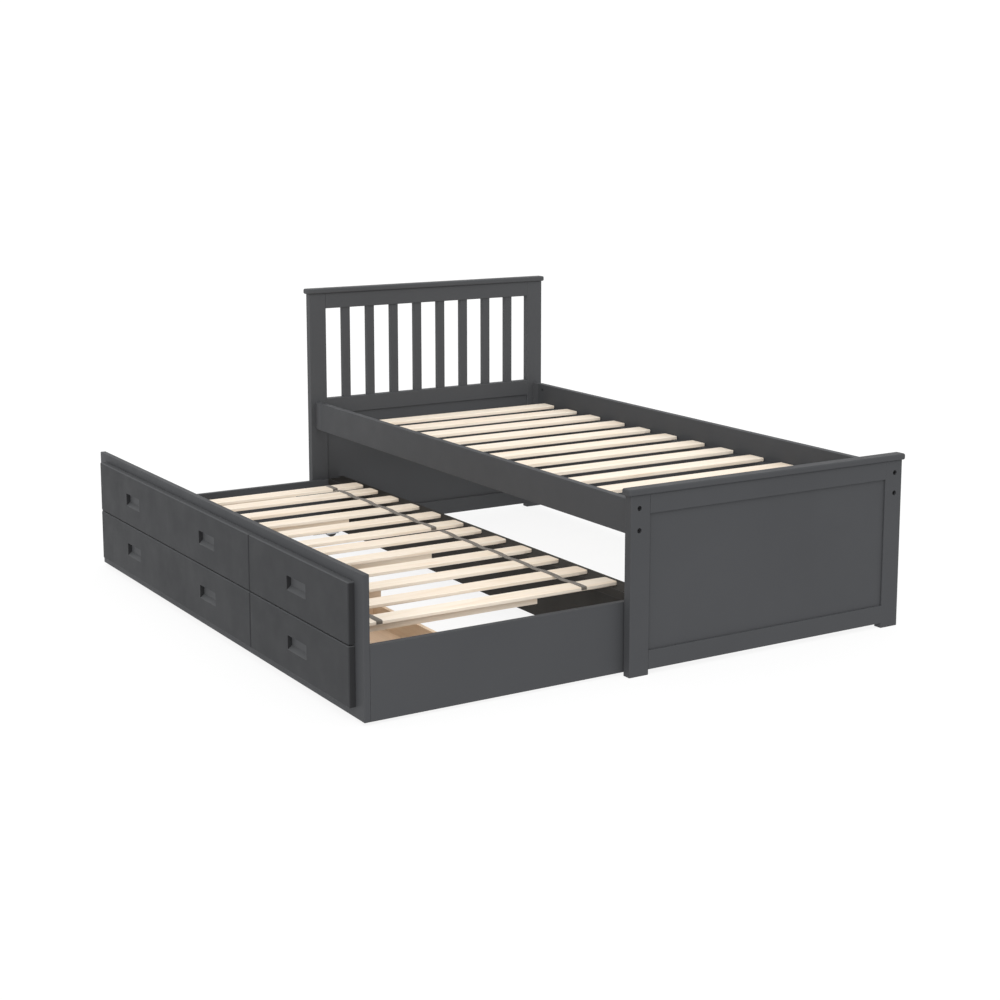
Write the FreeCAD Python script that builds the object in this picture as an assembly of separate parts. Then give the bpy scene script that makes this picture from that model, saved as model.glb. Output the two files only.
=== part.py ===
import FreeCAD, Part
import os

# Single captain's bed with a pull-out trundle. Millimetres, +Z up.
# +Y points to the headboard. The trundle rolls along X and is pulled out to -X at rest.
# The origin is on the floor, at the middle of the whole bed with its trundle out.

os.makedirs("parts", exist_ok=True)
Vec = FreeCAD.Vector

# ---- bed frame ----
BED_W = 980.0            # over the posts
BED_L = 1980.0           # over the outer faces of the two end boards
POST_W = 64.0
END_T = 28.0             # thickness of posts and end rails
HEAD_POST_H = 876.0
FOOT_POST_H = 503.0
CAP_T = 18.0
CAP_OVER_X = 10.0        # cap overhang at the bed's sides
CAP_OVER_Y = 6.0         # cap overhang in front and behind
CAP_CORNER_R = 9.0
CAP_EDGE_R = 5.0
TOP_RAIL_H = 54.0
MID_RAIL_Z0 = 441.0
MID_RAIL_Z1 = 497.0
BOTTOM_RAIL_Z0 = 15.0
BOTTOM_RAIL_Z1 = 69.0
PANEL_T = 16.0
PANEL_GROOVE = 8.0
SPINDLE_COUNT = 8
SPINDLE_W = 30.0
SPINDLE_T = 20.0
SOFT_EDGE = 2.0          # rounding of painted board edges
BACK_T = 16.0            # board that closes the bed's far side under the rail
BACK_Z0 = 15.0

# ---- side rails and base ----
RAIL_INSET = 17.0        # outer face of a rail behind the outer face of the posts
RAIL_T = 22.0
RAIL_Z0 = 390.0
RAIL_Z1 = 487.0
BOLT_Z = (406.0, 467.0)
BOLT_R = 3.5
BOLT_HOLE_R = 4.25
BOLT_LEN = 72.0
BLOCK_L = 38.0           # block between each rail and the headboard post
BLOCK_STEP = 1.0         # how far a block sits inside the rail's outline
BOLT_HEAD_R = 6.5
BOLT_HEAD_T = 4.0
SOCKET_R = 7.5           # counterbore for the bolt head
SOCKET_DEPTH = 9.0
HEX_R = 2.9              # corner radius of the hexagon socket in the head
HEX_DEPTH = 2.5
NUT_R = 5.0
NUT_LEN = 15.0
NUT_SETBACK = 30.0       # barrel nut centre from the rail's end
LEDGER_W = 26.0
LEDGER_H = 16.0
LEDGER_SETBACK = 84.0
BED_SLAT_COUNT = 12
BED_SLAT_PITCH = 152.6
BED_SLAT_W = 68.0
BED_SLAT_T = 12.0
BED_SLAT_TOP = 418.0
SLAT_END_GAP = 2.0
SLAT_EDGE = 2.5

# ---- trundle ----
TR_OUT = 785.0           # front board's face beyond the bed's left side when pulled out
TR_L = 1912.0
TR_D = 905.0
TR_T = 18.0
TR_FLOOR_GAP = 8.0
TR_FRONT_TOP = 388.0
TR_END_TOP = 206.0
TR_REAR_TOP = 209.0
TR_ROLL_SLATS = 6        # the slats come as two rolls, laid end to end
TR_ROLLS = ((749.0, 111.0), (-54.0, 146.0))  # first slat of a roll, step to its second
TR_SLAT_PITCH = 146.0
TR_SLAT_W = 63.0
TR_SLAT_T = 11.0
TR_SLAT_TOP = 220.0
TR_SLAT_END_R = 10.0
TR_SLAT_FRONT_GAP = 4.0
TR_SLAT_REAR_GAP = 18.0
BATTEN_FRONT_W = 14.0
BATTEN_REAR_W = 50.0
BATTEN_H = 24.0
CROSS_SLATS = (0, 3, 7, 11)      # slats with a cross batten under them, from the headboard
CROSS_L = 580.0
CROSS_W = 30.0
CROSS_H = 20.0
TAPE_W = 18.0
TAPE_T = 1.2
TAPE_FROM_FRONT = 95.0   # front tape centre from the slats' front ends
TAPE_FROM_REAR = 112.0   # rear tape centre from the slats' rear ends
TAPE_END = 2.0           # bare edge of a roll's last slat past its tape

# ---- fronts and drawers ----
COLUMNS = 3              # finger pulls in a row
FRONTS = ((0, 1), (1, 2))        # each front's first column, and how many it covers
FRONT_EDGE_STRIP = 45.0  # front board left bare at each end
FRONT_GAP_Y = 3.0
FRONT_GAP_Z = 3.0
FRONT_Z0 = 36.0
FRONT_H = 161.0
FRONT_T = 18.0
FRONT_REST_GAP = 0.5     # between a closed drawer front and the front board
FRONT_EDGE = 3.5
PULL_W = 115.0
PULL_H = 40.0
PULL_DEPTH = 13.0
PULL_CORNER_R = 3.0
PULL_LIP = 11.0          # rise of the pocket's sloping floor from the face to its back
BOX_SIDE_GAP = 33.5      # from the edge of a column to the drawer box beside it
BOX_D = 356.0
BOX_Z0 = 52.0
BOX_Z1 = 130.0
BOX_T = 12.0
BOX_BOTTOM_Z = 60.0
BOX_BOTTOM_T = 4.0
BOX_BOTTOM_GROOVE = 5.0
BOX_BACK_DROP = 6.0
CUTOUT_GAP = 4.0
GROOVE_Z0 = 85.0         # runner groove along the outside of each drawer side
GROOVE_H = 11.0
GROOVE_DEPTH = 6.0
GROOVE_STOP = 10.0       # solid length left behind the drawer front
RUNNER_GAP = 0.3
RUNNER_REACH = 5.5       # how far a runner reaches into a drawer side
BEARER_Z0 = 50.0
BEARER_Z1 = 150.0
BEARER_L = 370.0

# ---- castors ----
WHEEL_R = 20.0
WHEEL_W = 22.0
AXLE_R = 3.0
WHEEL_BORE_R = 3.05
CASTOR_PLATE = 3.0
CASTOR_SPAN = 34.0       # along Y, measured from the end panel
CASTOR_L = 46.0
CASTOR_TOP = 46.0
CASTOR_LOW = 12.0
CASTOR_FRONT = 100.0     # wheel centre behind the front board's face
CASTOR_REAR = 70.0       # wheel centre in front of the rear panel's outer face
WHEEL_EDGE = 3.0

# ---- derived positions, measured from the bed's own centre line ----
SIDE = BED_W / 2
END = BED_L / 2
END_IN = END - END_T
RAIL_IN = SIDE - RAIL_INSET - RAIL_T
RAIL_MID = SIDE - RAIL_INSET - RAIL_T / 2
FACE_X = -SIDE - TR_OUT
REAR_X = FACE_X + TR_D
TR_END = TR_L / 2
TR_IN = TR_END - TR_T
COLUMN_W = (TR_L - 2 * FRONT_EDGE_STRIP) / COLUMNS
FRONT_X0 = FACE_X - FRONT_REST_GAP - FRONT_T
BED_X = -(FRONT_X0 + SIDE + CAP_OVER_X) / 2


def box(x0, x1, y0, y1, z0, z1):
    return Part.makeBox(x1 - x0, y1 - y0, z1 - z0, Vec(x0, y0, z0))


def rod(radius, start, direction, length):
    return Part.makeCylinder(radius, length, start, direction)


def eased(solid, radius):
    return solid.makeFillet(radius, solid.Edges)


def edges_along(solid, axis):
    picked = []
    for edge in solid.Edges:
        a = edge.Vertexes[0].Point
        b = edge.Vertexes[-1].Point
        if abs((b - a).dot(axis)) > 0.99 * (b - a).Length > 0:
            picked.append(edge)
    return picked


def save(node, shape):
    shape.translate(Vec(BED_X, 0, 0))
    shape.exportStep("parts/" + node + ".step")


def save_group(node, solids):
    save(node, Part.makeCompound(solids))


def span(centre, width):
    return centre - width / 2, centre + width / 2


# ---- end boards: end is +1 for the headboard and -1 for the footboard ----

def end_faces(end, thickness, overhang=0.0):
    middle = end * (END - END_T / 2)
    return span(middle, thickness + 2 * overhang)


def end_panel_blank(end, z0, z1):
    y0, y1 = end_faces(end, PANEL_T)
    reach = SIDE - POST_W + PANEL_GROOVE
    return box(-reach, reach, y0, y1, z0 - PANEL_GROOVE, z1 + PANEL_GROOVE)


def bolt_clearance(side, end, height):
    start = Vec(side * RAIL_MID, end * END, height)
    inward = Vec(0, -end, 0)
    hole = rod(BOLT_HOLE_R, start, inward, END_T)
    return hole.fuse(rod(SOCKET_R, start, inward, SOCKET_DEPTH))


def end_post(side, end, height, panel):
    outer = side * SIDE
    inner = side * (SIDE - POST_W)
    y0, y1 = end_faces(end, END_T)
    post = eased(box(min(outer, inner), max(outer, inner), y0, y1, 0, height), SOFT_EDGE)
    post = post.cut(panel)
    for z in BOLT_Z:
        post = post.cut(bolt_clearance(side, end, z))
    return post


def end_cap(end, z0):
    y0, y1 = end_faces(end, END_T, CAP_OVER_Y)
    reach = SIDE + CAP_OVER_X
    cap = box(-reach, reach, y0, y1, z0, z0 + CAP_T)
    cap = cap.makeFillet(CAP_CORNER_R, edges_along(cap, Vec(0, 0, 1)))
    flat_edges = []
    for edge in cap.Edges:
        if edge.BoundBox.ZLength < 0.01:
            flat_edges.append(edge)
    return cap.makeFillet(CAP_EDGE_R, flat_edges)


def cross_rail(end, z0, z1, panel=None):
    y0, y1 = end_faces(end, END_T)
    reach = SIDE - POST_W
    rail = box(-reach, reach, y0, y1, z0, z1)
    rail = rail.makeFillet(SOFT_EDGE, edges_along(rail, Vec(1, 0, 0)))
    return rail.cut(panel) if panel else rail


def spindles(end, z0, z1):
    opening = BED_W - 2 * POST_W
    gap = (opening - SPINDLE_COUNT * SPINDLE_W) / (SPINDLE_COUNT + 1)
    y0, y1 = end_faces(end, SPINDLE_T)
    bars = []
    for i in range(SPINDLE_COUNT):
        x0 = -opening / 2 + gap + i * (gap + SPINDLE_W)
        bar = box(x0, x0 + SPINDLE_W, y0, y1, z0, z1)
        bars.append(bar.makeFillet(SOFT_EDGE, edges_along(bar, Vec(0, 0, 1))))
    return bars


def build_headboard():
    panel = end_panel_blank(1, BOTTOM_RAIL_Z1, MID_RAIL_Z0)
    save("headboard_post_left", end_post(-1, 1, HEAD_POST_H, panel))
    save("headboard_post_right", end_post(1, 1, HEAD_POST_H, panel))
    save("headboard_cap", end_cap(1, HEAD_POST_H))
    rail_z0 = HEAD_POST_H - TOP_RAIL_H
    save("headboard_top_rail", cross_rail(1, rail_z0, HEAD_POST_H))
    save("headboard_mid_rail", cross_rail(1, MID_RAIL_Z0, MID_RAIL_Z1, panel))
    save("headboard_bottom_rail", cross_rail(1, BOTTOM_RAIL_Z0, BOTTOM_RAIL_Z1, panel))
    save("headboard_panel", panel)
    save_group("headboard_spindles", spindles(1, MID_RAIL_Z1, rail_z0))


def build_footboard():
    rail_z0 = FOOT_POST_H - TOP_RAIL_H
    panel = end_panel_blank(-1, BOTTOM_RAIL_Z1, rail_z0)
    save("footboard_post_left", end_post(-1, -1, FOOT_POST_H, panel))
    save("footboard_post_right", end_post(1, -1, FOOT_POST_H, panel))
    save("footboard_cap", end_cap(-1, FOOT_POST_H))
    save("footboard_top_rail", cross_rail(-1, rail_z0, FOOT_POST_H, panel))
    save("footboard_bottom_rail", cross_rail(-1, BOTTOM_RAIL_Z0, BOTTOM_RAIL_Z1, panel))
    save("footboard_panel", panel)


# ---- side rails, their bolts and the bed's slats ----

def rail_end(end):
    # the blocks fill the space between the rails and the headboard
    return END_IN - (BLOCK_L if end > 0 else 0.0)


def rail_bolt(side, end, height):
    # the head sits at the bottom of the counterbore
    length = BOLT_LEN + END_IN - rail_end(end)
    seat = Vec(side * RAIL_MID, end * (END - SOCKET_DEPTH), height)
    inward = Vec(0, -end, 0)
    shank = rod(BOLT_R, seat, inward, length)
    head = rod(BOLT_HEAD_R, seat, Vec(0, end, 0), BOLT_HEAD_T)
    corners = []
    for step in range(7):
        turned = FreeCAD.Rotation(Vec(0, 1, 0), 60.0 * step).multVec(Vec(HEX_R, 0, 0))
        corners.append(seat + turned + Vec(0, end * BOLT_HEAD_T, 0))
    hexagon = Part.Face(Part.makePolygon(corners)).extrude(Vec(0, -end * HEX_DEPTH, 0))
    return shank.fuse(head.cut(hexagon))


def barrel_nut(side, end, height, bolt):
    start = Vec(side * RAIL_IN, end * (rail_end(end) - NUT_SETBACK), height)
    return rod(NUT_R, start, Vec(side, 0, 0), NUT_LEN).cut(bolt)


def side_rail(side, fixings):
    inner = side * RAIL_IN
    outer = side * (RAIL_IN + RAIL_T)
    rail = box(min(inner, outer), max(inner, outer), -rail_end(-1), rail_end(1), RAIL_Z0, RAIL_Z1)
    rail = rail.makeFillet(SOFT_EDGE, edges_along(rail, Vec(0, 1, 0)))
    for solid in fixings:
        rail = rail.cut(solid)
    return rail


def rail_block(side, fixings):
    inner = side * (RAIL_IN + BLOCK_STEP)
    outer = side * (RAIL_IN + RAIL_T - BLOCK_STEP)
    z0 = RAIL_Z0 + BLOCK_STEP
    z1 = RAIL_Z1 - BLOCK_STEP
    block = box(min(inner, outer), max(inner, outer), rail_end(1), END_IN, z0, z1)
    block = block.makeFillet(SOFT_EDGE / 2, edges_along(block, Vec(0, 0, 1)))
    for solid in fixings:
        block = block.cut(solid)
    return block


def slat_ledger(side):
    inner = side * (RAIL_IN - LEDGER_W)
    outer = side * RAIL_IN
    top = BED_SLAT_TOP - BED_SLAT_T
    reach = END_IN - LEDGER_SETBACK
    return box(min(inner, outer), max(inner, outer), -reach, reach, top - LEDGER_H, top)


def back_panel():
    x0, x1 = span(RAIL_MID, BACK_T)
    panel = box(x0, x1, -END_IN, END_IN, BACK_Z0, RAIL_Z0)
    return panel.makeFillet(SOFT_EDGE, edges_along(panel, Vec(0, 1, 0)))


def bed_slats():
    reach = RAIL_IN - SLAT_END_GAP
    slats = []
    for i in range(BED_SLAT_COUNT):
        middle = (i - (BED_SLAT_COUNT - 1) / 2) * BED_SLAT_PITCH
        y0, y1 = span(middle, BED_SLAT_W)
        slats.append(eased(box(-reach, reach, y0, y1, BED_SLAT_TOP - BED_SLAT_T, BED_SLAT_TOP), SLAT_EDGE))
    return slats


def build_base():
    bolts = []
    nuts = []
    blocks = []
    for side, name in ((-1, "left"), (1, "right")):
        fixings = []
        for end in (-1, 1):
            for z in BOLT_Z:
                bolt = rail_bolt(side, end, z)
                nut = barrel_nut(side, end, z, bolt)
                bolts.append(bolt)
                nuts.append(nut)
                fixings += [bolt, nut]
        save("side_rail_" + name, side_rail(side, fixings))
        save("slat_ledger_" + name, slat_ledger(side))
        blocks.append(rail_block(side, fixings))
    save_group("rail_blocks", blocks)
    save_group("rail_bolts", bolts)
    save_group("barrel_nuts", nuts)
    save_group("bed_slats", bed_slats())
    save("back_panel", back_panel())


# ---- trundle carcass ----

def column_edge(column):
    # column 0 is nearest the footboard
    return (column - COLUMNS / 2) * COLUMN_W


def front_span(index):
    first, count = FRONTS[index]
    return column_edge(first), column_edge(first + count)


def drawer_span(index):
    y0, y1 = front_span(index)
    return y0 + BOX_SIDE_GAP, y1 - BOX_SIDE_GAP


def front_board():
    board = eased(box(FACE_X, FACE_X + TR_T, -TR_END, TR_END, TR_FLOOR_GAP, TR_FRONT_TOP), SOFT_EDGE)
    z0 = BOX_Z0 - CUTOUT_GAP
    z1 = BOX_Z1 + CUTOUT_GAP
    for index in range(len(FRONTS)):
        y0, y1 = drawer_span(index)
        board = board.cut(box(FACE_X - 1, FACE_X + TR_T + 1, y0 - CUTOUT_GAP, y1 + CUTOUT_GAP, z0, z1))
    return board


def trundle_end(end):
    inner = end * TR_IN
    outer = end * TR_END
    x0 = FACE_X + TR_T
    x1 = REAR_X - TR_T
    panel = box(x0, x1, min(inner, outer), max(inner, outer), TR_FLOOR_GAP, TR_END_TOP)
    return panel.makeFillet(SOFT_EDGE, edges_along(panel, Vec(1, 0, 0)))


def roll_middles(roll):
    first, step = TR_ROLLS[roll]
    middles = [first]
    for i in range(TR_ROLL_SLATS - 1):
        middles.append(first - step - i * TR_SLAT_PITCH)
    return middles


def slat_middles():
    return roll_middles(0) + roll_middles(1)


def trundle_slats():
    x0 = FACE_X + TR_T + TR_SLAT_FRONT_GAP
    x1 = REAR_X - TR_T - TR_SLAT_REAR_GAP
    slats = []
    for middle in slat_middles():
        y0, y1 = span(middle, TR_SLAT_W)
        slat = box(x0, x1, y0, y1, TR_SLAT_TOP - TR_SLAT_T, TR_SLAT_TOP)
        slats.append(slat.makeFillet(TR_SLAT_END_R, edges_along(slat, Vec(0, 0, 1))))
    return slats


def slat_batten(x0, x1):
    top = TR_SLAT_TOP - TR_SLAT_T
    return box(x0, x1, -TR_IN, TR_IN, top - BATTEN_H, top)


def cross_battens():
    x0 = FACE_X + TR_T + BATTEN_FRONT_W
    top = TR_SLAT_TOP - TR_SLAT_T
    middles = slat_middles()
    battens = []
    for i in CROSS_SLATS:
        y0, y1 = span(middles[i], CROSS_W)
        battens.append(box(x0, x0 + CROSS_L, y0, y1, top - CROSS_H, top))
    return battens


def roll_tapes(middle):
    x0, x1 = span(middle, TAPE_W)
    past = TR_SLAT_W / 2 - TAPE_END
    tapes = []
    for roll in range(len(TR_ROLLS)):
        middles = roll_middles(roll)
        y0 = middles[-1] - past
        y1 = middles[0] + past
        tapes.append(box(x0, x1, y0, y1, TR_SLAT_TOP, TR_SLAT_TOP + TAPE_T))
    return tapes


def build_trundle():
    save("trundle_front_board", front_board())
    save("trundle_end_foot", trundle_end(-1))
    save("trundle_end_head", trundle_end(1))
    rear = eased(box(REAR_X - TR_T, REAR_X, -TR_END, TR_END, TR_FLOOR_GAP, TR_REAR_TOP), SOFT_EDGE)
    save("trundle_rear_panel", rear)
    x0 = FACE_X + TR_T
    x1 = REAR_X - TR_T
    save("trundle_batten_front", slat_batten(x0, x0 + BATTEN_FRONT_W))
    save("trundle_batten_rear", slat_batten(x1 - BATTEN_REAR_W, x1))
    save_group("trundle_cross_battens", cross_battens())
    save_group("trundle_slats", trundle_slats())
    save_group("slat_tapes_front", roll_tapes(x0 + TR_SLAT_FRONT_GAP + TAPE_FROM_FRONT))
    save_group("slat_tapes_rear", roll_tapes(x1 - TR_SLAT_REAR_GAP - TAPE_FROM_REAR))


# ---- fronts and drawers ----

def pull_pocket(middle, zc):
    y0, y1 = span(middle, PULL_W)
    z0, z1 = span(zc, PULL_H)
    back = FRONT_X0 + PULL_DEPTH
    pocket = box(FRONT_X0 - PULL_DEPTH, back, y0, y1, z0, z1)
    pocket = pocket.makeFillet(PULL_CORNER_R, edges_along(pocket, Vec(1, 0, 0)))
    start = Vec(FRONT_X0, y0, z0)
    corners = [start, Vec(back, y0, z0), Vec(back, y0, z0 + PULL_LIP), start]
    lip = Part.Face(Part.makePolygon(corners)).extrude(Vec(0, y1 - y0, 0))
    return pocket.cut(lip)


def front_with_pulls(index, z0, back_x):
    # the outline is rounded at the face and left square where it meets the front board
    y0, y1 = front_span(index)
    front = box(FRONT_X0, back_x, y0 + FRONT_GAP_Y / 2, y1 - FRONT_GAP_Y / 2, z0, z0 + FRONT_H)
    face_edges = []
    for edge in front.Edges:
        if edge.BoundBox.XMin < FRONT_X0 + 0.01:
            face_edges.append(edge)
    front = front.makeFillet(FRONT_EDGE, face_edges)
    first, count = FRONTS[index]
    for column in range(first, first + count):
        front = front.cut(pull_pocket(column_edge(column + 0.5), z0 + FRONT_H / 2))
    return front


def build_drawer(index):
    name = "drawer_%d_" % (index + 1)
    x0 = FACE_X - FRONT_REST_GAP
    x1 = x0 + BOX_D
    y0, y1 = drawer_span(index)
    iy0 = y0 + BOX_T
    iy1 = y1 - BOX_T
    by0 = iy0 - BOX_BOTTOM_GROOVE
    by1 = iy1 + BOX_BOTTOM_GROOVE
    bottom = box(x0, x1, by0, by1, BOX_BOTTOM_Z, BOX_BOTTOM_Z + BOX_BOTTOM_T)
    groove_z1 = GROOVE_Z0 + GROOVE_H
    near_groove = box(x0 + GROOVE_STOP, x1 + 1, y0 - 1, y0 + GROOVE_DEPTH, GROOVE_Z0, groove_z1)
    far_groove = box(x0 + GROOVE_STOP, x1 + 1, y1 - GROOVE_DEPTH, y1 + 1, GROOVE_Z0, groove_z1)
    near_side = box(x0, x1, y0, y0 + BOX_T, BOX_Z0, BOX_Z1).cut(bottom).cut(near_groove)
    far_side = box(x0, x1, y1 - BOX_T, y1, BOX_Z0, BOX_Z1).cut(bottom).cut(far_groove)
    back = box(x1 - BOX_T, x1, iy0, iy1, BOX_BOTTOM_Z + BOX_BOTTOM_T, BOX_Z1 - BOX_BACK_DROP)
    save(name + "front", front_with_pulls(index, FRONT_Z0, x0))
    save(name + "side_foot", near_side)
    save(name + "side_head", far_side)
    save(name + "back", back)
    save(name + "bottom", bottom)


def build_fronts():
    for index in range(len(FRONTS)):
        build_drawer(index)
        upper = front_with_pulls(index, FRONT_Z0 + FRONT_H + FRONT_GAP_Z, FACE_X)
        save("fixed_front_%d" % (index + 1), upper)


def build_drawer_supports():
    x0 = FACE_X + TR_T
    bearers = []
    runners = []
    edges = sorted({edge for index in range(len(FRONTS)) for edge in front_span(index)})
    for middle in edges:
        y0, y1 = span(middle, TR_T)
        bearers.append(box(x0, x0 + BEARER_L, y0, y1, BEARER_Z0, BEARER_Z1))
    z0 = GROOVE_Z0 + RUNNER_GAP
    z1 = GROOVE_Z0 + GROOVE_H - RUNNER_GAP
    for index in range(len(FRONTS)):
        outer0, outer1 = front_span(index)
        inner0, inner1 = drawer_span(index)
        near = (outer0 + TR_T / 2, inner0 + RUNNER_REACH)
        far = (inner1 - RUNNER_REACH, outer1 - TR_T / 2)
        for y0, y1 in (near, far):
            runners.append(box(x0, x0 + BEARER_L, y0, y1, z0, z1))
    save_group("drawer_bearers", bearers)
    save_group("drawer_runners", runners)


# ---- castors ----

def castor_bracket(x, end):
    wall = end * TR_IN
    far = end * (TR_IN - CASTOR_SPAN)
    x0, x1 = span(x, CASTOR_L)
    shell = box(x0, x1, min(wall, far), max(wall, far), CASTOR_LOW, CASTOR_TOP)
    y0, y1 = span((wall + far) / 2, CASTOR_SPAN - 2 * CASTOR_PLATE)
    shell = shell.cut(box(x0 - 1, x1 + 1, y0, y1, CASTOR_LOW - 1, CASTOR_TOP - CASTOR_PLATE))
    return shell.cut(castor_axle(x, end))


def castor_axle(x, end):
    start = Vec(x, end * TR_IN, WHEEL_R)
    return rod(AXLE_R, start, Vec(0, -end, 0), CASTOR_SPAN)


def castor_wheel(x, end):
    y0, y1 = span(end * (TR_IN - CASTOR_SPAN / 2), WHEEL_W)
    tyre = rod(WHEEL_R, Vec(x, y0, WHEEL_R), Vec(0, 1, 0), y1 - y0)
    rims = []
    for edge in tyre.Edges:
        if edge.BoundBox.YLength < 0.01:
            rims.append(edge)
    tyre = tyre.makeFillet(WHEEL_EDGE, rims)
    return tyre.cut(rod(WHEEL_BORE_R, Vec(x, y0 - 1, WHEEL_R), Vec(0, 1, 0), y1 - y0 + 2))


def build_castors():
    brackets = []
    axles = []
    for x, place in ((FACE_X + CASTOR_FRONT, "front"), (REAR_X - CASTOR_REAR, "rear")):
        for end, name in ((-1, "foot"), (1, "head")):
            brackets.append(castor_bracket(x, end))
            axles.append(castor_axle(x, end))
            save("castor_wheel_" + place + "_" + name, castor_wheel(x, end))
    save_group("castor_brackets", brackets)
    save_group("castor_axles", axles)


build_headboard()
build_footboard()
build_base()
build_trundle()
build_fronts()
build_drawer_supports()
build_castors()
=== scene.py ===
import bmesh
import bpy
import math
import random
from mathutils import Euler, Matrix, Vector


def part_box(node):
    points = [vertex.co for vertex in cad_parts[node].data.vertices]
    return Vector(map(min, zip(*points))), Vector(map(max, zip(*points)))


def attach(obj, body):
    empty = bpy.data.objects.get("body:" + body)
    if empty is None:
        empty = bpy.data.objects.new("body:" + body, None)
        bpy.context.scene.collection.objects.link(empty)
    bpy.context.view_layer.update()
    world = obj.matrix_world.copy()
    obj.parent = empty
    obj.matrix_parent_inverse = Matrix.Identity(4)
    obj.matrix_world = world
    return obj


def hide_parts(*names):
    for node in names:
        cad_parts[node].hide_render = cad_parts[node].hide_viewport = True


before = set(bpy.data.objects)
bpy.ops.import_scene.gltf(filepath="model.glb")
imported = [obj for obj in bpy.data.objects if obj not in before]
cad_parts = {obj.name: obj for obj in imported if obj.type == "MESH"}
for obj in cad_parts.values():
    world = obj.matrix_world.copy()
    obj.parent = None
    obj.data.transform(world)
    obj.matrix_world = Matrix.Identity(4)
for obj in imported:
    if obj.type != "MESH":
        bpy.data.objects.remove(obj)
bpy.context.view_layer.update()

# Single captain's bed with a pull-out trundle. Metres, +Z up, +Y towards the headboard.
# Painted boards and hardware come from the frame. The slats and their tapes are built here.

SEED = 11

# ---- camera: the photograph's viewpoint ----
CAMERA_AT = (-2.832, -4.768, 1.507)
CAMERA_TURN = math.radians(31.65)      # to the right of +Y
CAMERA_DOWN = math.radians(9.12)
CAMERA_LENS = 64.40
CAMERA_SENSOR = 36.0
CAMERA_SHIFT = -0.099                  # the photograph's uprights hardly lean

# ---- studio ----
FLOOR_REACH = 40.0
FLOOR_TONE = 0.12
FLOOR_GLOW = 0.862                     # keeps the sweep pale and its shadows faint
WORLD_LIGHT = 1.08
KEY_FROM = (-0.15, -0.50, 0.85)        # large soft lights, far away
KEY_STRENGTH = 0.90
KEY_SPREAD = math.radians(40)
FILL_FROM = (-0.74, -0.62, 0.26)
FILL_STRENGTH = 0.90
FILL_SPREAD = math.radians(30)

# ---- slats ----
SLAT_EDGE = 0.0026
BED_SLAT_CORNER = 0.004
TRUNDLE_SLAT_CORNER = 0.010
BED_SLAT_SHIFT = 0.0008                # how unevenly the slats are laid
TRUNDLE_SLAT_SHIFT = 0.0022
CORNER_STEPS = 5
ISLAND_GAP = 0.005                     # separate solids lie further apart than this

# ---- tapes ----
TAPE_LIFT = 0.0002                     # between a slat and the tape on it
TAPE_SAG = 0.0035                      # between two slats
TAPE_WANDER = 0.004
TAPE_FLAP = 0.009                      # how far an end folds down over a slat's edge
TAPE_BEND = 0.003
TAPE_REACH = 0.05                      # past a tape's ends, to find the slats under it
TAPE_WRAPS = ((0, 5), ())              # slats that a tape folds over, counted in each roll

# ---- colours ----
PAINT = (0.0520, 0.0536, 0.0570)
# painted edge highlight on the paint's edges, broken into patches like wear
PAINT_EDGE_HIGHLIGHT_AND_WEAR = (0.085, 0.087, 0.092)
# painted shade on the fronts' cut ends, the pulls' side walls and the fronts' undersides
FRONT_PAINTED_SHADE = (0.028, 0.0285, 0.030)
# lighter copies of the paint on the rail blocks, headboard and side rails, as painted light,
# and a darker copy on the fronts, as painted shade
BLOCK_LIT_PAINT = (0.068, 0.0695, 0.073)
HEADBOARD_LIT_PAINT = (0.0600, 0.0617, 0.0650)
RAIL_LIT_PAINT = (0.0540, 0.0557, 0.0592)
FRONT_SHADED_PAINT = (0.0315, 0.0325, 0.0347)
# painted light on the finger pulls' back walls
PULL_PAINTED_LIGHT = (0.066, 0.0677, 0.071)
# painted highlight on the fronts' top edges
TOP_EDGE_HIGHLIGHT = (0.068, 0.0698, 0.073)
SHADED_PAINT = (0.0240, 0.0222, 0.0198)    # inside the trundle
PAINT_SPECULAR = 0.10
PINE_LIGHT = (0.830, 0.760, 0.655)
PINE_DARK = (0.715, 0.575, 0.410)
DRAWER_LIGHT = (0.70, 0.555, 0.41)
DRAWER_DARK = (0.58, 0.44, 0.31)
# a lighter copy of the drawer wood for the drawer backs, as painted light
LIT_BACK_LIGHT = (0.86, 0.72, 0.55)
LIT_BACK_DARK = (0.78, 0.62, 0.44)
WEBBING = (0.150, 0.130, 0.108)
BLACK_STEEL = (0.035, 0.035, 0.037)
ZINC_STEEL = (0.58, 0.59, 0.61)
CASTOR_PLASTIC = (0.022, 0.022, 0.024)

# ---- surfaces: lengths and noise scales in metres and per metre ----
TURN = 6.2832
EVEN = (1.0, 1.0, 1.0)
EDGE_SAMPLES = 6
EDGE_TURN = (0.995, 0.80)              # cosines between which a surface counts as an edge

PAINT_STRETCH = 0.05                   # along the grain, against across it
PAINT_CLOUD_SCALE = 3.0
# patches, reach and strength of the painted edge highlight, which is broken up like wear
EDGE_HIGHLIGHT_PATCH_SCALE = 26.0
EDGE_HIGHLIGHT_RADIUS = 0.0025
EDGE_HIGHLIGHT_AND_WEAR = 0.75
PAINT_FIBRE_SCALE = 60.0
PAINT_PEEL_SCALE = 520.0               # the lacquer's orange peel
PAINT_BUMP = 0.16
PAINT_BUMP_DEPTH = 0.0008
PAINT_GLOSS_SCALE = 14.0
PAINT_ROUGHNESS = (0.50, 0.60)
PULL_LIGHT_DEPTHS = (0.004, 0.011)           # behind the face, where the pulls' painted light takes over
# normal ranges where the fronts get painted shade (sideways, down) and a painted highlight (up)
FACING_SIDE = (0.80, 0.97)
FACING_UP = (0.20, 0.75)
FACING_DOWN = (-0.80, -0.97)

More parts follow.
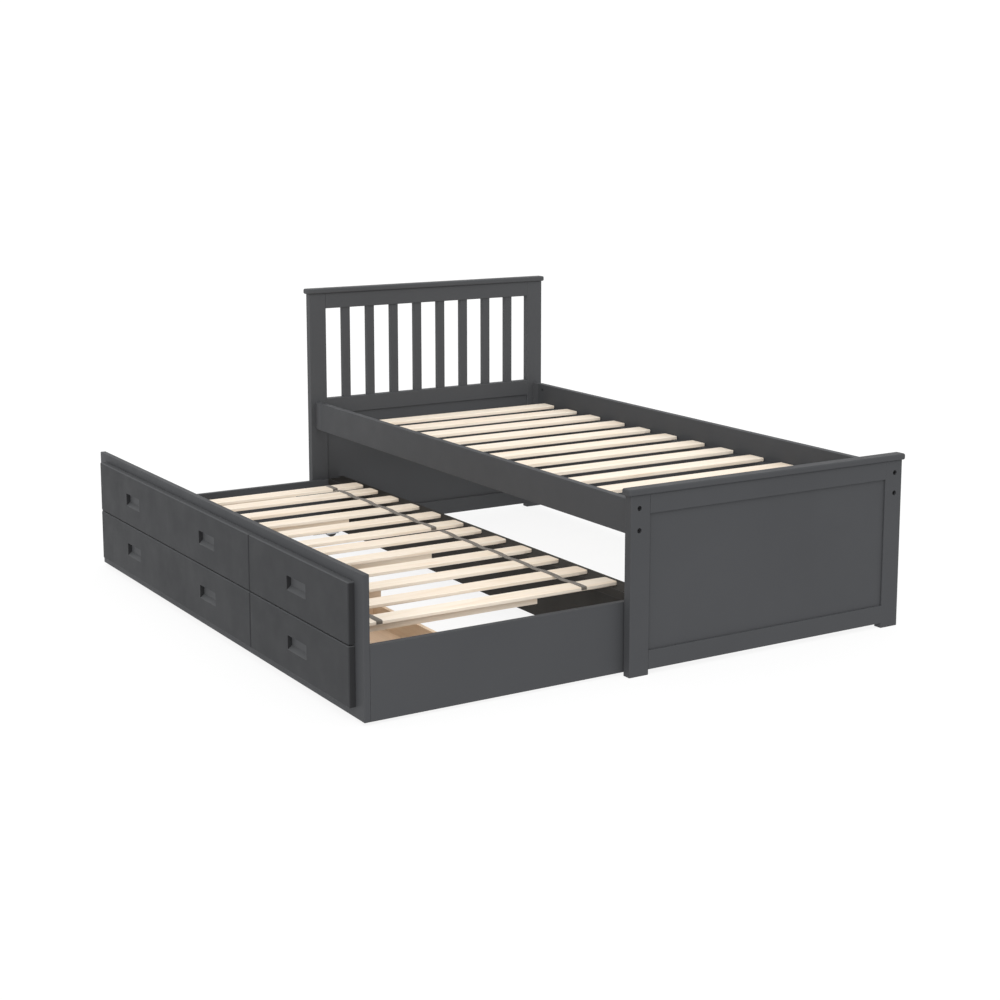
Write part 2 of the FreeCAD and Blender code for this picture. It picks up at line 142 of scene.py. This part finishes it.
WOOD_STRETCH = 0.045
PLANK_SPREAD = (7.0, 12.0, 17.0)       # how far apart the planks are cut from the tree
RING_WANDER = 5.5
RING_COUNT = 22.0
RING_SHOW = 0.38
WOOD_FIBRE_SCALE = 240.0
PORE_SHOW = 0.16
PLANK_SHOW = 0.42
PLANK_TINT = (1.08, 0.98, 0.95)
WOOD_CLOUD_SCALE = 9.0
CLOUD_SHOW = 0.22
CLOUD_TINT = (1.05, 0.93, 0.90)
WOOD_BUMP = 0.25
WOOD_BUMP_DEPTH = 0.0006
WOOD_ROUGHNESS = (0.48, 0.62)
WOOD_SPECULAR = 0.35

WARP_PITCH = 0.0016
WEFT_PITCH = 0.0022
TAPE_FUZZ_SCALE = 700.0
TAPE_BUMP = 0.6
TAPE_BUMP_DEPTH = 0.0005
TAPE_SHEEN = 0.25
TAPE_ROUGHNESS = (0.82, 0.95)
TAPE_SPECULAR = 0.2

SMUDGE_SCALE = 90.0
SMUDGE_ROUGHNESS = 0.12
METAL_GRAIN_SCALE = 1400.0
METAL_BUMP = 0.15
METAL_BUMP_DEPTH = 0.0002
BLACK_ROUGHNESS = 0.38
ZINC_ROUGHNESS = 0.30

PLASTIC_GRAIN_SCALE = 900.0
PLASTIC_BUMP = 0.3
PLASTIC_BUMP_DEPTH = 0.0003
PLASTIC_ROUGHNESS = (0.42, 0.55)
DUST_SCALE = 60.0
DUST_SHOW = 0.25


# ======================= node helpers =======================

def dimmed(color, factor):
    return tuple(c * factor for c in color)


class Shader:
    """A material's node tree, with short calls to add and join nodes."""

    def __init__(self, name):
        self.material = bpy.data.materials.new(name)
        self.material.use_nodes = True
        self.tree = self.material.node_tree
        self.tree.nodes.clear()
        self.output = self.add("ShaderNodeOutputMaterial")
        self.bsdf = self.add("ShaderNodeBsdfPrincipled")
        self.join(self.bsdf.outputs["BSDF"], self.output.inputs["Surface"])

    def add(self, kind, **settings):
        node = self.tree.nodes.new(kind)
        for key, value in settings.items():
            setattr(node, key, value)
        return node

    def join(self, source, target):
        self.tree.links.new(source, target)

    def feed(self, socket, value):
        if isinstance(value, bpy.types.NodeSocket):
            self.join(value, socket)
        else:
            socket.default_value = value

    def coords(self, stretch):
        place = self.add("ShaderNodeTexCoord")
        mapping = self.add("ShaderNodeMapping")
        mapping.inputs["Scale"].default_value = stretch
        self.join(place.outputs["Object"], mapping.inputs["Vector"])
        return mapping.outputs["Vector"]

    def noise(self, vector, scale, detail=4.0, roughness=0.5):
        node = self.add("ShaderNodeTexNoise")
        self.join(vector, node.inputs["Vector"])
        node.inputs["Scale"].default_value = scale
        node.inputs["Detail"].default_value = detail
        node.inputs["Roughness"].default_value = roughness
        return node.outputs["Fac"]

    def math(self, operation, a, b=0.0):
        node = self.add("ShaderNodeMath", operation=operation)
        self.feed(node.inputs[0], a)
        self.feed(node.inputs[1], b)
        return node.outputs[0]

    def rescale(self, value, low, high, to_low=0.0, to_high=1.0):
        node = self.add("ShaderNodeMapRange")
        self.feed(node.inputs["Value"], value)
        node.inputs["From Min"].default_value = low
        node.inputs["From Max"].default_value = high
        node.inputs["To Min"].default_value = to_low
        node.inputs["To Max"].default_value = to_high
        return node.outputs["Result"]

    def mix(self, factor, a, b):
        node = self.add("ShaderNodeMix", data_type="RGBA")
        self.feed(node.inputs["Factor"], factor)
        for key, color in (("A", a), ("B", b)):
            plain = not isinstance(color, bpy.types.NodeSocket)
            self.feed(node.inputs[key], (*color, 1.0) if plain else color)
        return node.outputs["Result"]

    def bump(self, height, strength, distance):
        node = self.add("ShaderNodeBump")
        node.inputs["Strength"].default_value = strength
        node.inputs["Distance"].default_value = distance
        self.join(height, node.inputs["Height"])
        return node.outputs["Normal"]

    def edge_mask(self, radius):
        """0 on flats, rising to 1 where the surface turns within radius."""
        bevel = self.add("ShaderNodeBevel", samples=EDGE_SAMPLES)
        bevel.inputs["Radius"].default_value = radius
        geometry = self.add("ShaderNodeNewGeometry")
        dot = self.add("ShaderNodeVectorMath", operation="DOT_PRODUCT")
        self.join(bevel.outputs["Normal"], dot.inputs[0])
        self.join(geometry.outputs["Normal"], dot.inputs[1])
        return self.rescale(dot.outputs["Value"], *EDGE_TURN)

    def finish(self, color, roughness, normal=None, specular=0.5):
        self.feed(self.bsdf.inputs["Base Color"], color)
        self.feed(self.bsdf.inputs["Roughness"], roughness)
        self.bsdf.inputs["Specular IOR Level"].default_value = specular
        if normal is not None:
            self.join(normal, self.bsdf.inputs["Normal"])
        return self.material


def front_shading(s, color, front_face):
    """Painted light and shade on the fronts: a painted highlight on the finger pulls' back
    walls and on the top edges, and painted shade on the cut ends, the side walls of the pulls
    and what faces down."""
    place = s.add("ShaderNodeTexCoord")
    where = s.add("ShaderNodeSeparateXYZ")
    s.join(place.outputs["Object"], where.inputs["Vector"])
    pull_from, pull_to = (front_face + depth for depth in PULL_LIGHT_DEPTHS)
    # painted light deep in the finger pulls
    pull_lit = s.rescale(where.outputs["X"], pull_from, pull_to)
    color = s.mix(pull_lit, color, PULL_PAINTED_LIGHT)
    facing = s.add("ShaderNodeSeparateXYZ")
    s.join(place.outputs["Normal"], facing.inputs["Vector"])
    # painted shade on faces turned sideways or down
    shaded_sides = s.rescale(s.math("ABSOLUTE", facing.outputs["Y"]), *FACING_SIDE)
    # painted highlight on faces turned up
    highlit_top = s.rescale(facing.outputs["Z"], *FACING_UP)
    color = s.mix(highlit_top, color, TOP_EDGE_HIGHLIGHT)
    shaded_undersides = s.rescale(facing.outputs["Z"], *FACING_DOWN)
    return s.mix(s.math("MAXIMUM", shaded_sides, shaded_undersides), color, FRONT_PAINTED_SHADE)


def painted_wood(name, grain, paint=PAINT, front_face=None):
    """Satin lacquer over wood. grain is the stretch that lays its faint grain along the board.
    front_face is the X of the outer face of the overlay fronts, for those alone."""
    s = Shader(name)
    plain = s.coords(EVEN)
    along = s.coords(grain)
    cloud = s.noise(plain, PAINT_CLOUD_SCALE, 3.0)
    color = s.mix(s.rescale(cloud, 0.3, 0.7), dimmed(paint, 0.965), dimmed(paint, 1.035))
    # painted edge highlight: lighter paint where the surface turns, in patches like wear
    patchy = s.rescale(s.noise(plain, EDGE_HIGHLIGHT_PATCH_SCALE, 4.0), 0.30, 0.70, 0.45, 1.0)
    highlit_and_worn = s.math("MULTIPLY", s.edge_mask(EDGE_HIGHLIGHT_RADIUS), patchy)
    color = s.mix(s.math("MULTIPLY", highlit_and_worn, EDGE_HIGHLIGHT_AND_WEAR), color, PAINT_EDGE_HIGHLIGHT_AND_WEAR)
    if front_face is not None:
        color = front_shading(s, color, front_face)
    fibre = s.noise(along, PAINT_FIBRE_SCALE, 5.0, 0.6)
    peel = s.noise(plain, PAINT_PEEL_SCALE, 2.0)
    height = s.math("ADD", s.math("MULTIPLY", fibre, 0.55), s.math("MULTIPLY", peel, 0.35))
    normal = s.bump(height, PAINT_BUMP, PAINT_BUMP_DEPTH)
    patches = s.noise(plain, PAINT_GLOSS_SCALE, 4.0)
    roughness = s.rescale(patches, 0.3, 0.7, *PAINT_ROUGHNESS)
    return s.finish(color, roughness, normal, PAINT_SPECULAR)


def bare_wood(name, light, dark, along_axis):
    """Planed softwood. along_axis is 0, 1 or 2, the direction of the grain."""
    s = Shader(name)
    stretch = list(EVEN)
    stretch[along_axis] = WOOD_STRETCH
    along = s.coords(tuple(stretch))
    island = s.add("ShaderNodeNewGeometry").outputs["Random Per Island"]
    # every plank is cut from its own place in the tree
    offset = s.add("ShaderNodeCombineXYZ")
    for i, key in enumerate("XYZ"):
        s.join(s.math("MULTIPLY", island, PLANK_SPREAD[i]), offset.inputs[key])
    moved = s.add("ShaderNodeVectorMath", operation="ADD")
    s.join(along, moved.inputs[0])
    s.join(offset.outputs["Vector"], moved.inputs[1])
    vector = moved.outputs["Vector"]
    wander = s.noise(vector, RING_WANDER, 3.0)
    rings = s.math("SINE", s.math("MULTIPLY", wander, TURN * RING_COUNT))
    late = s.rescale(rings, 0.10, 1.0)
    fibre = s.noise(vector, WOOD_FIBRE_SCALE, 5.0, 0.65)
    pores = s.rescale(fibre, 0.46, 0.70)
    color = s.mix(s.math("MULTIPLY", late, RING_SHOW), light, dark)
    color = s.mix(s.math("MULTIPLY", pores, PORE_SHOW), color, dimmed(dark, 0.72))
    # some planks are warmer than others, and each has a few warmer patches
    warm = s.rescale(island, 0.0, 1.0, 0.0, PLANK_SHOW)
    warm_dark = tuple(c * k for c, k in zip(dark, PLANK_TINT))
    color = s.mix(warm, color, s.mix(0.5, light, warm_dark))
    cloud = s.rescale(s.noise(vector, WOOD_CLOUD_SCALE, 2.0), 0.35, 0.68, 0.0, CLOUD_SHOW)
    color = s.mix(cloud, color, tuple(c * k for c, k in zip(dark, CLOUD_TINT)))
    height = s.math("ADD", s.math("MULTIPLY", late, 0.5), s.math("MULTIPLY", fibre, 0.5))
    normal = s.bump(height, WOOD_BUMP, WOOD_BUMP_DEPTH)
    roughness = s.rescale(fibre, 0.3, 0.7, *WOOD_ROUGHNESS)
    return s.finish(color, roughness, normal, WOOD_SPECULAR)


def woven_tape(name):
    s = Shader(name)
    place = s.coords(EVEN)
    axes = s.add("ShaderNodeSeparateXYZ")
    s.join(place, axes.inputs["Vector"])
    across = s.math("SINE", s.math("MULTIPLY", axes.outputs["X"], TURN / WARP_PITCH))
    along = s.math("SINE", s.math("MULTIPLY", axes.outputs["Y"], TURN / WEFT_PITCH))
    weave = s.math("MULTIPLY", across, along)
    fuzz = s.noise(place, TAPE_FUZZ_SCALE, 3.0)
    color = s.mix(s.rescale(weave, -1.0, 1.0), dimmed(WEBBING, 0.62), dimmed(WEBBING, 1.3))
    color = s.mix(s.rescale(fuzz, 0.35, 0.65, 0.0, 0.35), color, dimmed(WEBBING, 0.8))
    normal = s.bump(s.math("ADD", weave, fuzz), TAPE_BUMP, TAPE_BUMP_DEPTH)
    s.bsdf.inputs["Sheen Weight"].default_value = TAPE_SHEEN
    roughness = s.rescale(fuzz, 0.3, 0.7, *TAPE_ROUGHNESS)
    return s.finish(color, roughness, normal, TAPE_SPECULAR)


def metal(name, color, roughness):
    s = Shader(name)
    plain = s.coords(EVEN)
    smudge = s.noise(plain, SMUDGE_SCALE)
    tint = s.mix(s.rescale(smudge, 0.35, 0.65, 0.0, 0.4), color, dimmed(color, 0.8))
    normal = s.bump(s.noise(plain, METAL_GRAIN_SCALE, 2.0), METAL_BUMP, METAL_BUMP_DEPTH)
    s.bsdf.inputs["Metallic"].default_value = 1.0
    smeared = s.rescale(smudge, 0.3, 0.7, roughness, roughness + SMUDGE_ROUGHNESS)
    return s.finish(tint, smeared, normal)


def moulded_plastic(name, color):
    s = Shader(name)
    plain = s.coords(EVEN)
    grain = s.noise(plain, PLASTIC_GRAIN_SCALE, 3.0)
    dust = s.rescale(s.noise(plain, DUST_SCALE), 0.45, 0.75, 0.0, DUST_SHOW)
    tint = s.mix(dust, color, tuple(c * 1.6 + 0.01 for c in color))
    normal = s.bump(grain, PLASTIC_BUMP, PLASTIC_BUMP_DEPTH)
    return s.finish(tint, s.rescale(grain, 0.3, 0.7, *PLASTIC_ROUGHNESS), normal)


# ======================= materials =======================

ALONG_X = (PAINT_STRETCH, 1.0, 1.0)
ALONG_Y = (1.0, PAINT_STRETCH, 1.0)
ALONG_Z = (1.0, 1.0, PAINT_STRETCH)
fronts_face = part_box("fixed_front_1")[0][0]
paint_x = painted_wood("paint_along_x", ALONG_X)
paint_y = painted_wood("paint_along_y", ALONG_Y)
paint_z = painted_wood("paint_along_z", ALONG_Z)
# lit and shaded copies of the paint: the fronts darker as painted shade, the headboard, side
# rails and rail blocks lighter as painted light
shaded_front_paint = painted_wood("paint_fronts_shaded", ALONG_Y, FRONT_SHADED_PAINT, fronts_face)
lit_head_paint_x = painted_wood("paint_headboard_lit_along_x", ALONG_X, HEADBOARD_LIT_PAINT)
lit_head_paint_z = painted_wood("paint_headboard_lit_along_z", ALONG_Z, HEADBOARD_LIT_PAINT)
lit_rail_paint = painted_wood("paint_side_rails_lit", ALONG_Y, RAIL_LIT_PAINT)
lit_block_paint = painted_wood("paint_blocks_lit", ALONG_Y, BLOCK_LIT_PAINT)
paint_shaded = painted_wood("paint_shaded", ALONG_Y, SHADED_PAINT)
pine_x = bare_wood("pine_along_x", PINE_LIGHT, PINE_DARK, 0)
drawer_x = bare_wood("drawer_wood_along_x", DRAWER_LIGHT, DRAWER_DARK, 0)
drawer_y = bare_wood("drawer_wood_along_y", DRAWER_LIGHT, DRAWER_DARK, 1)
# the drawer backs get a lighter copy of the drawer wood, as painted light
lit_drawer_back = bare_wood("lit_drawer_back_along_y", LIT_BACK_LIGHT, LIT_BACK_DARK, 1)
webbing = woven_tape("tape_webbing")
black_steel = metal("black_steel", BLACK_STEEL, BLACK_ROUGHNESS)
zinc = metal("zinc_steel", ZINC_STEEL, ZINC_ROUGHNESS)
castor_plastic = moulded_plastic("castor_plastic", CASTOR_PLASTIC)


def material_for(node):
    if node.startswith("fixed_front") or node.startswith("drawer_") and node.endswith("_front"):
        return shaded_front_paint
    if node == "rail_blocks":
        return lit_block_paint
    if node in ("drawer_bearers", "drawer_runners"):
        return drawer_x
    if node.startswith("drawer_") and node.endswith("_back"):
        return lit_drawer_back
    if node.startswith("drawer_"):
        return drawer_y if node.endswith("_bottom") else drawer_x
    if node in ("bed_slats", "trundle_slats", "trundle_cross_battens"):
        return pine_x
    if node == "trundle_batten_front":
        return drawer_y
    if node in ("trundle_batten_rear", "trundle_rear_panel"):
        return paint_shaded
    if node.startswith("slat_tape"):
        return webbing
    if node in ("rail_bolts", "barrel_nuts"):
        return black_steel
    if node in ("castor_brackets", "castor_axles"):
        return zinc
    if node.startswith("castor_wheel"):
        return castor_plastic
    upright = "_post_" in node or node.endswith(("board_panel", "_spindles"))
    if node.startswith("headboard"):
        return lit_head_paint_z if upright else lit_head_paint_x
    if node.startswith("side_rail"):
        return lit_rail_paint
    if upright:
        return paint_z
    if node.startswith(("footboard", "trundle_end")):
        return paint_x
    return paint_y


for node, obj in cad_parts.items():
    obj.data.materials.clear()
    obj.data.materials.append(material_for(node))


# ======================= slats and tapes =======================

def object_from(name, bm, material):
    mesh = bpy.data.meshes.new(name)
    bm.to_mesh(mesh)
    bm.free()
    for face in mesh.polygons:
        face.use_smooth = True
    mesh.materials.append(material)
    piece = bpy.data.objects.new(name, mesh)
    bpy.context.scene.collection.objects.link(piece)
    return piece


def ease_edges(piece, name, width, segments, angle):
    bevel = piece.modifiers.new(name, "BEVEL")
    bevel.width = width
    bevel.segments = segments
    bevel.limit_method = "ANGLE"
    bevel.angle_limit = math.radians(angle)
    return bevel


def rounded_outline(x0, x1, y0, y1, radius):
    points = []
    centres = ((x1 - radius, y1 - radius, 0), (x0 + radius, y1 - radius, 90),
               (x0 + radius, y0 + radius, 180), (x1 - radius, y0 + radius, 270))
    for cx, cy, start in centres:
        for step in range(CORNER_STEPS + 1):
            angle = math.radians(start + 90.0 * step / CORNER_STEPS)
            points.append((cx + radius * math.cos(angle), cy + radius * math.sin(angle)))
    return points


def slat(name, x0, x1, middle, width, z0, z1, corner, skew):
    """A plank along X, turned by skew in plan about its middle, with eased edges."""
    bm = bmesh.new()
    cx = (x0 + x1) / 2
    ring = []
    for x, y in rounded_outline(x0, x1, -width / 2, width / 2, corner):
        ring.append(bm.verts.new((x, middle + y + (x - cx) * skew, z0)))
    base = bm.faces.new(ring)
    grown = bmesh.ops.extrude_face_region(bm, geom=[base])["geom"]
    for vert in grown:
        if isinstance(vert, bmesh.types.BMVert):
            vert.co.z = z1
    bmesh.ops.recalc_face_normals(bm, faces=bm.faces)
    piece = object_from(name, bm, pine_x)
    eased = ease_edges(piece, "eased", SLAT_EDGE, 3, 50)
    eased.harden_normals = True
    return piece


def y_spans(node):
    """The stretch along Y of each separate solid in a node, from the foot end up."""
    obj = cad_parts[node]
    ys = [(obj.matrix_world @ vert.co).y for vert in obj.data.vertices]
    faces = sorted((min(ys[k] for k in face.vertices), max(ys[k] for k in face.vertices))
                   for face in obj.data.polygons)
    spans = [list(faces[0])]
    for y0, y1 in faces:
        if y0 - spans[-1][1] > ISLAND_GAP:
            spans.append([y0, y1])
        spans[-1][1] = max(spans[-1][1], y1)
    return spans


def slat_set(node, body, stem, corner, shift, rng):
    """A slat for each solid in the node. Returns the stretch of Y that each one covers."""
    low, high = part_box(node)
    laid = []
    for i, (y0, y1) in enumerate(y_spans(node)):
        middle = (y0 + y1) / 2 + rng.uniform(-shift, shift)
        skew = rng.uniform(-1, 1) * shift / (high[0] - low[0])
        piece = slat("%s_%02d" % (stem, i + 1), low[0], high[0], middle, y1 - y0,
                     low[2], high[2], corner, skew)
        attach(piece, body)
        laid.append((middle - (y1 - y0) / 2, middle + (y1 - y0) / 2))
    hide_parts(node)
    return laid


def ribbon(name, path, width, thickness):
    """A flat tape, width along X, that follows path and keeps its thickness round bends."""
    bm = bmesh.new()
    rings = []
    for i, at in enumerate(path):
        along = (path[min(i + 1, len(path) - 1)] - path[max(i - 1, 0)]).normalized()
        up = Vector((1.0, 0.0, 0.0)).cross(along).normalized() * thickness / 2
        side = Vector((width / 2, 0.0, 0.0))
        corners = (at - side - up, at + side - up, at + side + up, at - side + up)
        rings.append([bm.verts.new(corner) for corner in corners])
    for near, far in zip(rings, rings[1:]):
        for k in range(4):
            bm.faces.new((near[k], near[(k + 1) % 4], far[(k + 1) % 4], far[k]))
    bm.faces.new(rings[0])
    bm.faces.new(rings[-1][::-1])
    bmesh.ops.recalc_face_normals(bm, faces=bm.faces)
    piece = object_from(name, bm, webbing)
    ease_edges(piece, "woven edge", thickness * 0.3, 2, 60)
    return piece


def tape_path(x, slats, top, thickness, wraps, rng):
    """From the headboard end down: over each slat, sagging between them, and folded down
    over the near edge of the slats in wraps."""
    z = top + TAPE_LIFT + thickness / 2
    path = []
    drift = 0.0
    for i, (y0, y1) in enumerate(slats):
        drift += rng.uniform(-1, 1) * TAPE_WANDER / 2
        at = x + drift
        if i == 0:
            path.append(Vector((at, y1 + thickness, z - TAPE_FLAP * 0.7)))
            path.append(Vector((at, y1 + thickness * 0.8, z - TAPE_BEND * 0.5)))
        path.append(Vector((at, y1 - TAPE_BEND, z)))
        path.append(Vector((at, (y0 + y1) / 2, z)))
        path.append(Vector((at, y0 + TAPE_BEND, z)))
        last = i == len(slats) - 1
        if i in wraps or last:
            path.append(Vector((at, y0 - thickness * 0.6, z - TAPE_BEND * 0.4)))
            path.append(Vector((at, y0 - thickness, z - TAPE_FLAP)))
        if not last:
            reach = y0 - slats[i + 1][1]
            low = TAPE_FLAP * 0.6 if i in wraps else TAPE_SAG
            for part in (0.25, 0.5, 0.75):
                sag = low * (1 - part) if i in wraps else low * 4 * part * (1 - part)
                path.append(Vector((at, y0 - reach * part, z - sag)))
    return path


def tape_set(node, slats, top, wraps, rng):
    """One tape for each roll of slats, laid over the slats that it crosses."""
    low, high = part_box(node)
    width, thickness = high[0] - low[0], high[2] - low[2]
    for roll, (y0, y1) in enumerate(reversed(y_spans(node))):
        under = [pair for pair in reversed(slats)
                 if y0 - TAPE_REACH < sum(pair) / 2 < y1 + TAPE_REACH]
        path = tape_path((low[0] + high[0]) / 2, under, top, thickness, wraps[roll], rng)
        piece = ribbon("%s_roll_%d" % (node, roll + 1), path, width, thickness)
        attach(piece, "trundle")
    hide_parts(node)


rng = random.Random(SEED)
slat_set("bed_slats", "bed_frame", "bed_slat", BED_SLAT_CORNER, BED_SLAT_SHIFT, rng)
laid_slats = slat_set("trundle_slats", "trundle", "trundle_slat", TRUNDLE_SLAT_CORNER,
                      TRUNDLE_SLAT_SHIFT, rng)
slat_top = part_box("trundle_slats")[1][2]
tape_set("slat_tapes_front", laid_slats, slat_top, TAPE_WRAPS, rng)
tape_set("slat_tapes_rear", laid_slats, slat_top, TAPE_WRAPS, rng)


# ======================= studio =======================

def build_floor():
    bm = bmesh.new()
    corners = [bm.verts.new((x * FLOOR_REACH, y * FLOOR_REACH, 0.0))
               for x, y in ((-1, -1), (1, -1), (1, 1), (-1, 1))]
    bm.faces.new(corners)
    s = Shader("floor")
    cloud = s.noise(s.coords(EVEN), 2.0, 2.0)
    tone = s.mix(cloud, (FLOOR_TONE,) * 3, (FLOOR_TONE * 1.02,) * 3)
    s.bsdf.inputs["Emission Strength"].default_value = FLOOR_GLOW
    s.bsdf.inputs["Emission Color"].default_value = (1.0, 1.0, 1.0, 1.0)
    floor = object_from("floor", bm, s.finish(tone, 0.9, specular=0.1))


def soft_light(name, origin, strength, spread):
    light = bpy.data.lights.new(name, "SUN")
    light.energy = strength
    light.angle = spread
    lamp = bpy.data.objects.new(name, light)
    lamp.rotation_euler = Vector(origin).to_track_quat("Z", "Y").to_euler()
    bpy.context.scene.collection.objects.link(lamp)


def build_studio():
    world = bpy.data.worlds.new("studio")
    bpy.context.scene.world = world
    world.use_nodes = True
    background = world.node_tree.nodes["Background"]
    background.inputs["Color"].default_value = (1.0, 1.0, 1.0, 1.0)
    background.inputs["Strength"].default_value = WORLD_LIGHT
    soft_light("key", KEY_FROM, KEY_STRENGTH, KEY_SPREAD)
    soft_light("fill", FILL_FROM, FILL_STRENGTH, FILL_SPREAD)
    view = bpy.context.scene.view_settings
    view.view_transform = "Standard"
    view.look = "None"


def build_camera():
    data = bpy.data.cameras.new("camera")
    data.sensor_width = CAMERA_SENSOR
    data.lens = CAMERA_LENS
    data.shift_y = CAMERA_SHIFT
    data.clip_end = 200.0
    camera = bpy.data.objects.new("camera", data)
    camera.location = CAMERA_AT
    camera.rotation_euler = Euler((math.radians(90) - CAMERA_DOWN, 0.0, -CAMERA_TURN), "XYZ")
    bpy.context.scene.collection.objects.link(camera)
    bpy.context.scene.camera = camera


build_floor()
build_studio()
build_camera()
